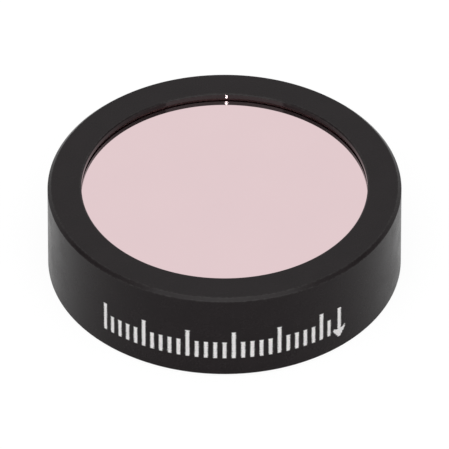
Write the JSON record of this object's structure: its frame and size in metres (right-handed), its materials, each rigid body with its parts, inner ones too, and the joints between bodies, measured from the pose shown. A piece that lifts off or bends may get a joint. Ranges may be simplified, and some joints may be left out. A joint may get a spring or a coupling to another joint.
{
  "type": "optical bandpass filter",
  "caption": "Half-inch optical bandpass filter: a coated glass disc behind the thin front lip of a black anodised mounting ring.",
  "frame": {"origin": "centre of the housing ring's rear face, which it stands on", "axes": "+Z along the optical axis, towards the front, lipped side; X and Y are free about the axis, and -Y faces the arrow's side"},
  "size_m": [0.0125, 0.0124, 0.0035],
  "materials": {
    "black_anodised": "satin",
    "black_anodised_retainer": "satin",
    "coated_glass": "polished",
    "black_epoxy": "matte"
  },
  "bodies": {
    "root": {"housing_ring": "black_anodised", "filter_disc": "coated_glass", "epoxy_bond": "black_epoxy", "retaining_ring": "black_anodised_retainer"}
  },
  "joints": []
}
